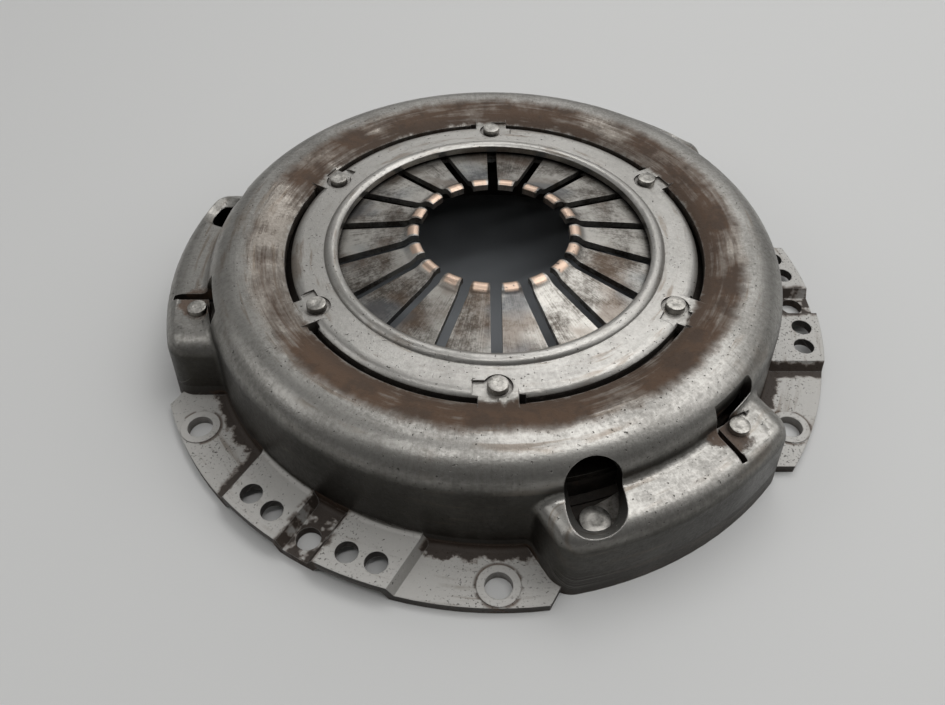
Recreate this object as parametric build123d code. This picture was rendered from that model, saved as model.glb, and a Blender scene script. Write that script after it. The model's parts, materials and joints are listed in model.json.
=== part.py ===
from build123d import *
import os
from math import asin, atan, cos, sin, tan, radians, sqrt

# Clutch pressure plate (clutch cover assembly) with a diaphragm spring.
# Frame: origin on the clutch axis in the plane where the cover bolts to the flywheel.
# +Z points away from the flywheel, towards the release bearing. Millimetres.

# ---------------------------------------------------------------- pressed cover
SHEET = 3.5                # thickness of the cover's steel sheet
RING_Z = 40.6              # height of the flat ring round the fingers
RING_W = 17.6              # width of the ring, from the arc slots in to the cover's inner edge
LIP_WIDTH = 5.1            # radial width of the raised inner lip
LIP_RISE = 1.8             # height of the lip above the ring
LIP_CROWN = 0.45           # where the lip is highest, as a share of its width
CREST_RISE = 2.9           # height of the dome's crest above the ring
DOME_INSET = 15.0          # from the bolt circle in to the dome at its shoulder
SHOULDER_R = 13.0          # radius of the dome's outer shoulder
SWEEP_DROP = 4.27          # how far the crest's inner slope falls on its way to the arc slots
WALL_DRAFT = 3.8           # draft of the dome's wall, degrees

# arc slots, tabs and rivet pockets
RIVETS = 6                 # fulcrum rivets
RIVET_INSET = 4.0          # from the arc slots in to the rivet circle
SLOT_R = 77.5              # inner radius of the arc slots
SLOT_W = 2.5
TAB_W = 13.3               # width of the tabs between the slots
EDGE_DROP = 1.7            # how far the ring turns down beside the slots
EDGE_W = 3.6               # radial width of that turned-down edge
POCKET_R = 5.0             # pocket round a rivet head
POCKET_DEPTH = 1.0
POCKET_REACH = 8.5         # length of the pocket beside the head
NOTCH_W = 2.4              # squared notch at one end of each slot
NOTCH_DEPTH = 1.3

# strap towers
TOWERS = 3
TOWER_Z = 29.8             # height of the towers' flat tops
TOWER_OUT = 18.6           # how far the towers' feet stand out from the dome
TOWER_HALF_W = 47.5        # half width at the foot
TOWER_DRAFT = 4.0          # draft of the tower walls, degrees
TOWER_CORNER_R = 9.0
TOWER_EDGE_R = 8.0         # rounding of the towers' top edge
CREASE_R = 3.0             # inside rounding where a tower meets the dome
ACCESS_W = 20.4            # oval access opening over the plate's strap rivet
ACCESS_LEN = 22.4
ACCESS_LEAN = 54.0         # lean of that opening's axis from the vertical, degrees
ACCESS_TURN = 30.0         # turn of its axis towards the tower's end, degrees
ACCESS_TAPER = 14.0        # how much its sides close inwards, degrees
ACCESS_IN = 0.8            # how far its middle lies inside the dome's shoulder
ACCESS_RISE = 3.9          # height of its middle above the tower's top
ACCESS_SIDE = 0.3          # how far its middle lies beyond the rivet's axis
ACCESS_REACH = 13.0        # how far the opening's cut runs to either side of its middle
WINDOW_INSET = 0.2         # from the dome's shoulder in to the rivet pad's inner edge
WINDOW_W = 3.2             # width of the slot between rivet pad and dome
WINDOW_END = 20.5          # where that slot ends, degrees from the tower's middle
LANCE_W = 2.4              # width of the straight cut beside the rivet pad
LANCE_GAP = 8.2            # from the rivet's axis to the middle of that cut
LANCE_MARGIN = 7.0         # from the end of that cut out to the tower's foot
PAD_DROP = 0.8             # the rivet pad lies this much lower than the tower's top
PAD_LEN = 14.0             # length of the lowered pad, from the straight cut
PAD_MARGIN = 10.0          # from the lowered pad out to the tower's foot
PAD_SLOPE = 2.5            # width of the slope from the lowered pad up to the tower's top

# bolting flange
FLANGE_MARGIN = 7.5        # from the bolt circle out to the flange's edge
FLANGE_HALF_LEN = 79.7     # half length of a flange section
BOLTS = 6
BOLT_CIRCLE_R = 125.0
BOLT_HOLE_R = 4.6
BOSS_R = 7.2               # coined seat round a bolt hole
BOSS_RISE = 0.4
DOWEL_HOLE_R = 4.2
STEP_RISE = 3.7            # height of the flange's raised pads
STEP_IN = 7.3              # a pad's near end, from the middle of the section
STEP_OUT = 33.2            # a pad's far end
STEP_RUN = 2.4             # length of the slope at either end of a pad
ROOT_R = 2.0               # inside rounding where the flange meets the dome's wall
PAD_HOLE_R = 3.9
PAD_HOLE_NEAR = 15.3       # offsets of the two holes in a pad
PAD_HOLE_FAR = 25.6

# ---------------------------------------------------------------- diaphragm spring
SPRING_T = 2.5
FINGERS = 18
FULCRUM_INSET = 0.7        # from the arc slots in to the circle that the spring pivots on
FULCRUM_DROP = 2.2         # the cover's pivot bead stands this far below the ring's underside
FINGER_ANGLE = 11.0        # slope of the fingers, degrees
DISC_ANGLE = 14.0          # slope of the closed outer part
SPRING_INSET = 7.0         # from the dome's shoulder in to the spring's outer edge
FINGER_GAP = 4.0           # slot between two fingers
FINGER_HOLE_R = 3.8        # hole at the outer end of a slot
TIP_R = 28.8               # radius inside the finger tips
TIP_LEN = 7.0              # radial length of the cranked tip
TIP_CRANK = 0.62           # where the tip's ramp ends, as a share of its length
TIP_RAMP_RISE = 0.84       # height of the ramp's end above the finger's slope
TIP_END_RISE = 0.36        # height of the tip's inner end above the finger's slope
BEAD_R = 2.4               # radius of the bead that the spring pivots on
SEAT_GAP = 0.1             # clearance between the spring and its two pivots

# fulcrum ring under the spring
FULCRUM_RING_T = 1.8
FULCRUM_RING_IN_W = 7.8    # its width inside the pivot circle
FULCRUM_RING_OUT_W = 3.8   # its width outside the pivot circle
FULCRUM_RING_RISE = 1.4    # height of its bead above its flat

# fulcrum rivets
FR_HEAD_R = 3.5
FR_HEAD_H = 1.6            # height of the head above the ring
FR_SHANK_R = 2.2
FR_SPACER_R = 2.9
FR_FOOT_R = 4.6
FR_FOOT_H = 2.0

# ---------------------------------------------------------------- pressure plate
FACE_Z = 4.5               # friction face above the flange's plane, cover unbolted
PLATE_IN_R = 74.0
PLATE_MARGIN = 5.0         # from the land out to the plate's edge
PLATE_T = 13.0
LAND_INSET = 2.2           # from the spring's outer edge in to the land it presses on
LAND_NOSE_R = 2.6          # rounding of the land's top
LANDS = 12                 # lengths of land, with gaps between that let air through
LAND_GAP_W = 13.0
LUG_HALF_W = 9.0
LUG_FLARE = 2.5            # how much a lug widens on each side towards its root
RUN_GAP = 0.3              # clearance between the plate and the spring

# drive straps and their rivets
COVER_RIVET_Y = 27.5       # from the tower's middle to the rivet in the cover
PLATE_RIVET_Y = 28.8       # from the tower's middle to the rivet in the pressure plate
STRAP_OUT = 0.6            # how far the straps' lines lie outside the dome's shoulder
STRAP_W = 10.4
LEAVES = 3
LEAF_T = 0.7
LEAF_GAP = 0.02
STRAP_FLAT = 8.5           # flat length beyond a rivet's axis before the strap bends
PLATE_SEAT_Z = 15.0        # top of the plate's lug, where the strap lies
CS_HEAD_R = 3.5            # cover-side strap rivet
CS_HEAD_H = 2.2
CS_SHANK_R = 2.7
CS_FOOT_R = 4.8
CS_FOOT_H = 2.2
PS_HEAD_R = 5.1            # plate-side strap rivet
PS_HEAD_H = 2.0
PS_SHANK_R = 3.2
PS_FOOT_R = 5.2
PS_FOOT_H = 2.4
HOLE_PLAY = 0.1            # radial play of a rivet in its hole
HEAD_BEVEL = 0.3           # bevel round a rivet's head and foot
PLATE_BEVEL = 0.8          # bevel on the edges of the pressure plate
CUT = 2.0                  # how far a cutting body runs past what it cuts

# ---------------------------------------------------------------- worked-out sizes
DOME_R = BOLT_CIRCLE_R - DOME_INSET
TOWER_R = DOME_R + TOWER_OUT
FLANGE_R = BOLT_CIRCLE_R + FLANGE_MARGIN
RIVET_CIRCLE_R = SLOT_R - RIVET_INSET
FULCRUM_R = SLOT_R - FULCRUM_INSET
LIP_R = SLOT_R - RING_W
FULCRUM_RING_IN = FULCRUM_R - FULCRUM_RING_IN_W
FULCRUM_RING_OUT = FULCRUM_R + FULCRUM_RING_OUT_W
WINDOW_R = DOME_R - WINDOW_INSET
LANCE_END_R = TOWER_R - LANCE_MARGIN
PAD_OUT_R = TOWER_R - PAD_MARGIN
SPRING_OUT_R = DOME_R - SPRING_INSET
LAND_R = SPRING_OUT_R - LAND_INSET
PLATE_OUT_R = LAND_R + PLATE_MARGIN
STRAP_REACH = DOME_R + STRAP_OUT
DISC_LEAN = cos(radians(DISC_ANGLE))
UNDER_Z = RING_Z - SHEET
CREST_Z = RING_Z + CREST_RISE
CREST_R = DOME_R - SHOULDER_R
SWEEP_WIDTH = CREST_R - SLOT_R - SLOT_W
SWEEP_R = (SWEEP_WIDTH ** 2 + SWEEP_DROP ** 2) / (2 * SWEEP_DROP)
FULCRUM_Z = UNDER_Z - FULCRUM_DROP
SPRING_Z = FULCRUM_Z + BEAD_R - (BEAD_R + SEAT_GAP) / DISC_LEAN
SPRING_DEPTH = SPRING_T / DISC_LEAN
LOWER_BEAD_Z = SPRING_Z - SPRING_DEPTH - (BEAD_R + SEAT_GAP) / DISC_LEAN
FULCRUM_RING_Z = LOWER_BEAD_Z + BEAD_R - FULCRUM_RING_RISE
PAD_TOP_Z = TOWER_Z - PAD_DROP
PAD_UNDER_Z = PAD_TOP_Z - SHEET
STACK = LEAVES * (LEAF_T + LEAF_GAP)
FIRST_TOWER = 60
FIRST_RIVET = 30


def turn(shape, angle):
    return Rot(0, 0, angle) * shape


def round_copies(shape, count, first_angle):
    return [turn(shape, first_angle + 360 / count * k) for k in range(count)]


def revolved(outline):
    return revolve(Plane.XZ * make_face(outline), Axis.Z)


def post(radius, low, high, x=0, y=0):
    return Pos(x, y, low) * Cylinder(radius, high - low, align=(Align.CENTER, Align.CENTER, Align.MIN))


def block(x0, x1, y0, y1, z0, z1):
    return Pos(x0, y0, z0) * Box(x1 - x0, y1 - y0, z1 - z0, align=(Align.MIN, Align.MIN, Align.MIN))


def prism_along_x(corners, x0, x1):
    side = Plane.YZ * make_face(Polyline(*corners, close=True))
    return Pos(x0, 0, 0) * extrude(side, x1 - x0, dir=(1, 0, 0))


# ---------------------------------------------------------------- cover
def dome_solid(depth, floor):
    """Everything under the dome and ring, bounded by the sheet's skin at this depth."""
    lean = radians(WALL_DRAFT)
    shoulder = SHOULDER_R - depth
    sweep = SWEEP_R - depth
    shoulder_z = CREST_Z - SHOULDER_R
    wall_top = (CREST_R + shoulder * cos(lean), shoulder_z + shoulder * sin(lean))
    wall_foot = (wall_top[0] + (wall_top[1] - floor) * tan(lean), floor)
    crest = (CREST_R, CREST_Z - depth)
    sweep_angle = asin(SWEEP_WIDTH / SWEEP_R)

    def on_sweep(angle):
        return (CREST_R - sweep * sin(angle), CREST_Z - SWEEP_R + sweep * cos(angle))

    valley = on_sweep(sweep_angle)
    shoulder_mid = (CREST_R + shoulder * sin(radians(45)), shoulder_z + shoulder * cos(radians(45)))
    skin = [
        Line((LIP_R - depth, floor), wall_foot),
        Line(wall_foot, wall_top),
        ThreePointArc(wall_top, shoulder_mid, crest),
        ThreePointArc(crest, on_sweep(sweep_angle / 2), valley),
    ]
    if depth == 0:
        skin += ring_top(valley, floor)
    else:
        skin += ring_underside(valley, LIP_R - depth, floor)
    return revolved(skin)


def ring_top(start, floor):
    edge_z = RING_Z - EDGE_DROP
    edge_r = SLOT_R - EDGE_W
    lip_foot = LIP_R + LIP_WIDTH
    lip_top = (LIP_R + LIP_WIDTH * LIP_CROWN, RING_Z + LIP_RISE)
    lip_in = (LIP_R, RING_Z + LIP_RISE / 2)
    return [
        Line(start, (SLOT_R, edge_z)),
        TangentArc((edge_r, RING_Z), (SLOT_R, edge_z), tangent=(1, 0)),
        Line((edge_r, RING_Z), (lip_foot, RING_Z)),
        ThreePointArc((lip_foot, RING_Z), lip_top, lip_in),
        Line(lip_in, (LIP_R, floor)),
    ]


def ring_underside(start, inner_r, floor):
    centre_z = FULCRUM_Z + BEAD_R
    bead_in = FULCRUM_R - sqrt(BEAD_R ** 2 - (centre_z - UNDER_Z) ** 2)
    bead_out_z = centre_z - sqrt(BEAD_R ** 2 - (SLOT_R - FULCRUM_R) ** 2)
    lip_foot = LIP_R + LIP_WIDTH
    lip_knee = lip_foot - LIP_RISE
    lip_under = UNDER_Z + LIP_RISE
    return [
        Line(start, (SLOT_R, bead_out_z)),
        ThreePointArc((SLOT_R, bead_out_z), (FULCRUM_R, FULCRUM_Z), (bead_in, UNDER_Z)),
        Line((bead_in, UNDER_Z), (lip_foot + SHEET, UNDER_Z)),
        Line((lip_foot + SHEET, UNDER_Z), (lip_knee, lip_under)),
        Line((lip_knee, lip_under), (inner_r, lip_under)),
        Line((inner_r, lip_under), (inner_r, floor)),
    ]


def tower_solid(depth, floor):
    """One tower on the +X side, bounded by the sheet's skin at this depth."""
    top = TOWER_Z - depth
    lean = tan(radians(TOWER_DRAFT))
    foot = TOWER_R - depth
    half = TOWER_HALF_W - depth
    start = CREST_R - TOWER_EDGE_R
    outer = revolved([
        Line((start, floor), (foot - floor * lean, floor)),
        Line((foot - floor * lean, floor), (foot - top * lean, top)),
        Line((foot - top * lean, top), (start, top)),
        Line((start, top), (start, floor)),
    ])
    low = half - floor * lean
    high = half - top * lean
    ends = prism_along_x([(-low, floor), (low, floor), (high, top), (-high, top)], start - CUT, TOWER_R + CUT)
    tower = outer & ends
    upright = tower.edges().filter_by(lambda e: abs(e.center().Z - (top + floor) / 2) < 1)
    corners = upright.filter_by(lambda e: e.center().X > CREST_R and abs(e.center().Y) > half / 2)
    tower = fillet(corners, TOWER_CORNER_R - depth)
    rim = [e for e in tower.edges() if abs(e.center().Z - top) < 0.1 and e.center().X > start + 1]
    return fillet(rim, TOWER_EDGE_R - depth)


def flange_section():
    """One bolting section on the +X side: plain plate with two raised pads."""
    disc = post(FLANGE_R, 0, SHEET)
    start = CREST_R - SHOULDER_R
    plate = disc & block(start, FLANGE_R + CUT, -FLANGE_HALF_LEN, FLANGE_HALF_LEN, -CUT, SHEET + CUT)
    rim = post(FLANGE_R, 0, SHEET + STEP_RISE)
    for side in (1, -1):
        pad = prism_along_x([
            (side * (STEP_IN - STEP_RUN), SHEET),
            (side * STEP_IN, SHEET + STEP_RISE),
            (side * STEP_OUT, SHEET + STEP_RISE),
            (side * (STEP_OUT + STEP_RUN), SHEET),
            (side * (STEP_OUT + STEP_RUN), 0),
            (side * (STEP_IN - STEP_RUN), 0),
        ], CREST_R, FLANGE_R + CUT)
        plate = plate + (pad & rim)
        near, far = sorted((side * STEP_IN, side * STEP_OUT))
        plate = plate + (root_fillet(SHEET + STEP_RISE) & block(start, FLANGE_R, near, far, 0, CREST_Z))
    root = root_fillet(SHEET) & block(start, FLANGE_R, -FLANGE_HALF_LEN, FLANGE_HALF_LEN, 0, CREST_Z)
    return plate + root


def root_fillet(height):
    """The rounded inside corner between the dome's wall and flange metal whose top is at this height."""
    wall = DOME_R + (CREST_Z - SHOULDER_R - height) * tan(radians(WALL_DRAFT))
    middle = ROOT_R * (1 - cos(radians(45)))
    top = (wall, height + ROOT_R)
    out = (wall + ROOT_R, height)
    corner = (wall - SHEET / 2, height - SHEET / 2)
    return revolved([
        ThreePointArc(top, (wall + middle, height + middle), out),
        Line(out, corner),
        Line(corner, top),
    ])


def pad_undersides():
    """The hollows under the two raised pads of a section on the +X side."""
    knee = SHEET * tan(atan(STEP_RISE / STEP_RUN) / 2)
    near = STEP_IN + knee
    far = STEP_OUT - knee
    drop = (STEP_RISE + CUT) * STEP_RUN / STEP_RISE
    return [
        prism_along_x([
            (side * (near - drop), -CUT),
            (side * near, STEP_RISE),
            (side * far, STEP_RISE),
            (side * (far + drop), -CUT),
        ], CREST_R, FLANGE_R + CUT)
        for side in (1, -1)
    ]


def arc_slot():
    """One arc slot from the tab on the +X axis to the next, with its squared notch."""
    half_tab = TAB_W / 2
    span = 360 / RIVETS
    low = UNDER_Z - 2 * SHEET
    far = 2 * (SLOT_R + SLOT_W)
    band = post(SLOT_R + SLOT_W, low, CREST_Z) - post(SLOT_R, low - CUT, CREST_Z + CUT)
    corners = [(0, 0), (far, 0), (far * cos(radians(span)), far * sin(radians(span)))]
    wedge = Pos(0, 0, low) * extrude(make_face(Polyline(*corners, close=True)), CREST_Z - low)
    tab = block(0, far, -half_tab, half_tab, low - CUT, CREST_Z + CUT)
    slot = (band & wedge) - tab - turn(tab, span)
    notch = block(SLOT_R - NOTCH_DEPTH, SLOT_R + SLOT_W, half_tab, half_tab + NOTCH_W, low, CREST_Z)
    return slot + notch


def tab_fill():
    """The flat tab that carries the ring, on the +X side, before its pocket is coined."""
    reach = SLOT_R + SLOT_W + SHEET
    return block(RIVET_CIRCLE_R, reach, -TAB_W / 2, TAB_W / 2, UNDER_Z, RING_Z)


def rivet_pocket():
    """The coined recess round a fulcrum rivet's head, open to the slot on one side."""
    floor = RING_Z - POCKET_DEPTH
    round_part = post(POCKET_R, floor, CREST_Z, RIVET_CIRCLE_R)
    side_part = block(RIVET_CIRCLE_R - POCKET_R / 2, SLOT_R + SLOT_W, -POCKET_REACH, 0, floor, CREST_Z)
    return round_part + side_part


def rivet_window():
    """The openings round the cover-side strap rivet: an arc slot and a straight lance cut."""
    low = PAD_UNDER_Z - SHEET
    lance_y = COVER_RIVET_Y - LANCE_GAP
    inner = WINDOW_R - WINDOW_W
    far = WINDOW_R / cos(radians(WINDOW_END)) * 2
    band = post(WINDOW_R, low, CREST_Z) - post(inner, low - CUT, CREST_Z + CUT)
    corners = [(0, 0), (far, 0), (far * cos(radians(WINDOW_END)), far * sin(radians(WINDOW_END)))]
    wedge = Pos(0, 0, low) * extrude(make_face(Polyline(*corners, close=True)), CREST_Z - low)
    arc = (band & wedge) & block(0, far, lance_y, far, low, CREST_Z)
    middle_r = inner + WINDOW_W / 2
    round_end = post(WINDOW_W / 2, low, CREST_Z, middle_r * cos(radians(WINDOW_END)),
                     middle_r * sin(radians(WINDOW_END)))
    lance = block(inner, LANCE_END_R, lance_y, lance_y + LANCE_W, low, CREST_Z)
    return arc + round_end + lance


def lowered_pad(low, high):
    """The patch of a tower's top that is set down under the strap rivet's head."""
    start = COVER_RIVET_Y - LANCE_GAP
    return block(WINDOW_R - WINDOW_W, PAD_OUT_R, start, start + PAD_LEN, low, high)


def pad_slope():
    """The hollow over the lowered pad, with slopes up to the tower's top on two sides."""
    inner = WINDOW_R - WINDOW_W
    start = COVER_RIVET_Y - LANCE_GAP
    levels = [
        Plane.XY.offset(level) * make_face(Polyline(
            (inner, start),
            (PAD_OUT_R + spread, start),
            (PAD_OUT_R + spread, start + PAD_LEN + spread),
            (inner, start + PAD_LEN + spread),
            close=True,
        ))
        for level, spread in ((PAD_TOP_Z, 0), (TOWER_Z, PAD_SLOPE))
    ]
    return loft(levels, ruled=True)


def access_opening():
    """The cut of the leaning oval opening over the plate's strap rivet, for the tower on the +X side."""
    spread = 2 * ACCESS_REACH * tan(radians(ACCESS_TAPER))
    outer_end = Pos(0, 0, ACCESS_REACH) * SlotOverall(ACCESS_LEN + spread, ACCESS_W + spread)
    oval = extrude(outer_end, 2 * ACCESS_REACH, dir=(0, 0, -1), taper=ACCESS_TAPER)
    middle = Pos(DOME_R - ACCESS_IN, -PLATE_RIVET_Y - ACCESS_SIDE, TOWER_Z + ACCESS_RISE)
    return middle * Rot(0, 0, -ACCESS_TURN) * Rot(0, ACCESS_LEAN, 0) * oval


def cover_skin(depth, floor):
    body = dome_solid(depth, floor)
    for tower in round_copies(tower_solid(depth, floor), TOWERS, FIRST_TOWER):
        body = body + tower
    return body


def meets_dome(edge):
    """Whether an edge is where a tower runs into the dome's wall."""
    middle = edge @ 0.5
    reach = sqrt(middle.X ** 2 + middle.Y ** 2)
    sunk = middle.Z < TOWER_Z + 0.1 and middle.Z > CUT
    return sunk and abs(reach - DOME_R) < SHEET and edge.geom_type != GeomType.LINE


def cover():
    outer = cover_skin(0, 0)
    creases = [e for e in outer.edges() if meets_dome(e)]
    outer = fillet(creases, CREASE_R)
    for section in round_copies(flange_section(), TOWERS, FIRST_TOWER + 180 / TOWERS):
        outer = outer + section
    for tab in round_copies(tab_fill(), RIVETS, FIRST_RIVET):
        outer = outer + tab
    for boss in round_copies(post(BOSS_R, 0, SHEET + BOSS_RISE, BOLT_CIRCLE_R), BOLTS, FIRST_RIVET):
        outer = outer + boss
    inner = cover_skin(SHEET, -CUT)
    for k in range(TOWERS):
        for hollow in pad_undersides():
            inner = inner + turn(hollow, FIRST_TOWER + 180 / TOWERS + 360 / TOWERS * k)
    shell = outer - inner
    for k in range(TOWERS):
        angle = FIRST_TOWER + 360 / TOWERS * k
        shell = shell + turn(lowered_pad(PAD_UNDER_Z, PAD_UNDER_Z + SHEET), angle)
        shell = shell - turn(lowered_pad(PAD_TOP_Z, RING_Z), angle)
        shell = shell - turn(pad_slope(), angle)
        shell = shell - turn(rivet_window(), angle)
        shell = shell - turn(access_opening(), angle)
        shell = shell - turn(post(CS_SHANK_R + HOLE_PLAY, 0, CREST_Z, STRAP_REACH, COVER_RIVET_Y), angle)
        head_room = CS_HEAD_R + 3 * HOLE_PLAY
        shell = shell - turn(post(head_room, PAD_TOP_Z, CREST_Z, STRAP_REACH, COVER_RIVET_Y), angle)
        shell = shell - turn(flange_holes(), angle + 180 / TOWERS)
    for k in range(RIVETS):
        angle = FIRST_RIVET + 360 / RIVETS * k
        shell = shell - turn(arc_slot(), angle)
        shell = shell - turn(rivet_pocket(), angle)
        shell = shell - turn(post(FR_SHANK_R + HOLE_PLAY, 0, CREST_Z, RIVET_CIRCLE_R), angle)
        spacer_room = FR_SPACER_R + 2 * HOLE_PLAY
        shell = shell - turn(post(spacer_room, FULCRUM_Z - SHEET, UNDER_Z, RIVET_CIRCLE_R), angle)
        shell = shell - turn(post(BOLT_HOLE_R, -CUT, SHEET + STEP_RISE, BOLT_CIRCLE_R), angle)
    return shell


def flange_holes():
    """The dowel hole and the four pad holes of a section on the +X side."""
    top = SHEET + STEP_RISE + CUT
    holes = post(DOWEL_HOLE_R, -CUT, top, BOLT_CIRCLE_R)
    for offset in (PAD_HOLE_NEAR, PAD_HOLE_FAR):
        reach = sqrt(BOLT_CIRCLE_R ** 2 - offset ** 2)
        holes = holes + post(PAD_HOLE_R, -CUT, top, reach, offset)
        holes = holes + post(PAD_HOLE_R, -CUT, top, reach, -offset)
    return holes


# ---------------------------------------------------------------- diaphragm spring
def spring_top():
    """Top line of the spring's section, from its outer edge to its fingertip."""
    out_z = SPRING_Z - (SPRING_OUT_R - FULCRUM_R) * tan(radians(DISC_ANGLE))
    slope = tan(radians(FINGER_ANGLE))

    def finger_z(r):
        return SPRING_Z + (FULCRUM_R - r) * slope

    bend = TIP_R + TIP_LEN
    rise = TIP_R + TIP_LEN * TIP_CRANK
    knee = (FULCRUM_R, SPRING_Z)
    start = (bend, finger_z(bend))
    ramp = TangentArc(start, (rise, finger_z(rise) + TIP_RAMP_RISE), tangent=(-1, slope))
    end = (TIP_R, finger_z(TIP_R) + TIP_END_RISE)
    return [
        Line((SPRING_OUT_R, out_z), knee),
        Line(knee, start),
        ramp,
        TangentArc(ramp @ 1, end, tangent=ramp % 1),
    ]


def diaphragm_spring():
    top = spring_top()
    bottom = [Pos(0, -SPRING_DEPTH) * edge for edge in top]
    outer_edge = Line(top[0] @ 0, bottom[0] @ 0)
    tip_edge = Line(top[-1] @ 1, bottom[-1] @ 1)
    disc = revolved(top + bottom + [outer_edge, tip_edge])
    low = SPRING_Z - SPRING_OUT_R
    high = CREST_Z + SPRING_OUT_R
    gap = block(0, RIVET_CIRCLE_R, -FINGER_GAP / 2, FINGER_GAP / 2, low, high)
    gap = gap + post(FINGER_HOLE_R, low, high, RIVET_CIRCLE_R)
    for cut in round_copies(gap, FINGERS, FIRST_RIVET):
        disc = disc - cut
    return disc


# ---------------------------------------------------------------- fulcrum ring and rivets
def fulcrum_ring():
    centre = (FULCRUM_R, LOWER_BEAD_Z)
    half = sqrt(BEAD_R ** 2 - (BEAD_R - FULCRUM_RING_RISE) ** 2)
    flat = FULCRUM_RING_Z
    top = [
        Line((FULCRUM_RING_IN, flat), (FULCRUM_R - half, flat)),
        ThreePointArc((FULCRUM_R - half, flat), (centre[0], centre[1] + BEAD_R), (FULCRUM_R + half, flat)),
        Line((FULCRUM_R + half, flat), (FULCRUM_RING_OUT, flat)),
    ]
    bottom = [Pos(0, -FULCRUM_RING_T) * edge for edge in top]
    sides = [Line(top[0] @ 0, bottom[0] @ 0), Line(top[-1] @ 1, bottom[-1] @ 1)]
    ring = revolved(top + bottom + sides)
    for k in range(RIVETS):
        angle = FIRST_RIVET + 360 / RIVETS * k
        ring = ring - turn(post(FR_SPACER_R + HOLE_PLAY, flat, SPRING_Z, RIVET_CIRCLE_R), angle)
        ring = ring - turn(post(FR_SHANK_R + HOLE_PLAY, 0, SPRING_Z, RIVET_CIRCLE_R), angle)
        seat = post(FR_FOOT_R + HOLE_PLAY, flat - FULCRUM_RING_T, flat, RIVET_CIRCLE_R)
        seat = seat - post(FR_SHANK_R + HOLE_PLAY, 0, SPRING_Z, RIVET_CIRCLE_R)
        ring = ring + turn(seat, angle)
    return ring


def round_rivet(head_r, head_low, head_high, shank_r, foot_r, foot_low, foot_high, x, y=0):
    """A rivet with a flat round head above and a foot below, on a plain shank."""
    head = chamfer(post(head_r, head_low, head_high, x, y).edges().group_by(Axis.Z)[-1], HEAD_BEVEL)
    foot = chamfer(post(foot_r, foot_low, foot_high, x, y).edges().group_by(Axis.Z)[0], HEAD_BEVEL)
    return head + foot + post(shank_r, foot_high - HOLE_PLAY, head_low + HOLE_PLAY, x, y)


def fulcrum_rivet():
    pocket_z = RING_Z - POCKET_DEPTH
    under = FULCRUM_RING_Z - FULCRUM_RING_T
    rivet = round_rivet(FR_HEAD_R, pocket_z, RING_Z + FR_HEAD_H, FR_SHANK_R,
                        FR_FOOT_R, under - FR_FOOT_H, under, RIVET_CIRCLE_R)
    return rivet + post(FR_SPACER_R, FULCRUM_RING_Z, UNDER_Z, RIVET_CIRCLE_R)


# ---------------------------------------------------------------- pressure plate
def spring_under(r):
    return SPRING_Z - SPRING_DEPTH - (r - FULCRUM_R) * tan(radians(DISC_ANGLE))


def pressure_plate():
    back = FACE_Z + PLATE_T
    nose_z = spring_under(LAND_R) - (LAND_NOSE_R + RUN_GAP) / DISC_LEAN
    land_in = LAND_R - LAND_NOSE_R
    land_out = LAND_R + LAND_NOSE_R
    outside = Polyline(
        (PLATE_IN_R, FACE_Z + PLATE_BEVEL),
        (PLATE_IN_R + PLATE_BEVEL, FACE_Z),
        (PLATE_OUT_R - PLATE_BEVEL, FACE_Z),
        (PLATE_OUT_R, FACE_Z + PLATE_BEVEL),
        (PLATE_OUT_R, back - 2 * PLATE_BEVEL),
        (land_out, back),
        (land_out, nose_z),
    )
    nose = ThreePointArc((land_out, nose_z), (LAND_R, nose_z + LAND_NOSE_R), (land_in, nose_z))
    inside = Polyline(
        (land_in, nose_z),
        (land_in, back + PLATE_BEVEL),
        (land_in - 2 * PLATE_BEVEL, back),
        (PLATE_IN_R + 2 * PLATE_BEVEL, back - PLATE_BEVEL),
        (PLATE_IN_R, back - 3 * PLATE_BEVEL),
        (PLATE_IN_R, FACE_Z + PLATE_BEVEL),
    )
    ring = revolved([*outside.edges(), nose, *inside.edges()])
    half_gap = LAND_GAP_W / 2
    air_gap = block(land_in - CUT, PLATE_OUT_R + CUT, -half_gap, half_gap, back + PLATE_BEVEL, CREST_Z)
    for gap in round_copies(air_gap, LANDS, 0):
        ring = ring - gap
    for lug in round_copies(strap_lug(), TOWERS, FIRST_TOWER):
        ring = ring + lug
    hole_r = PS_SHANK_R + HOLE_PLAY
    for hole in round_copies(post(hole_r, 0, back, STRAP_REACH, -PLATE_RIVET_Y), TOWERS, FIRST_TOWER):
        ring = ring - hole
    return ring


def strap_lug():
    """A lug that carries a strap's end, flaring into the plate's rim, for the tower on the +X side."""
    low = FACE_Z + PS_FOOT_H
    root = LUG_HALF_W + LUG_FLARE
    tip = Pos(STRAP_REACH, -PLATE_RIVET_Y) * Circle(LUG_HALF_W)
    arm = make_face(Polyline(
        (STRAP_REACH, LUG_HALF_W - PLATE_RIVET_Y),
        (LAND_R, root - PLATE_RIVET_Y),
        (LAND_R, -root - PLATE_RIVET_Y),
        (STRAP_REACH, -LUG_HALF_W - PLATE_RIVET_Y),
        close=True,
    ))
    body = Pos(0, 0, low) * extrude(arm + tip, PLATE_SEAT_Z - low)
    return body - post(LAND_R, low - CUT, PLATE_SEAT_Z + CUT)


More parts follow.
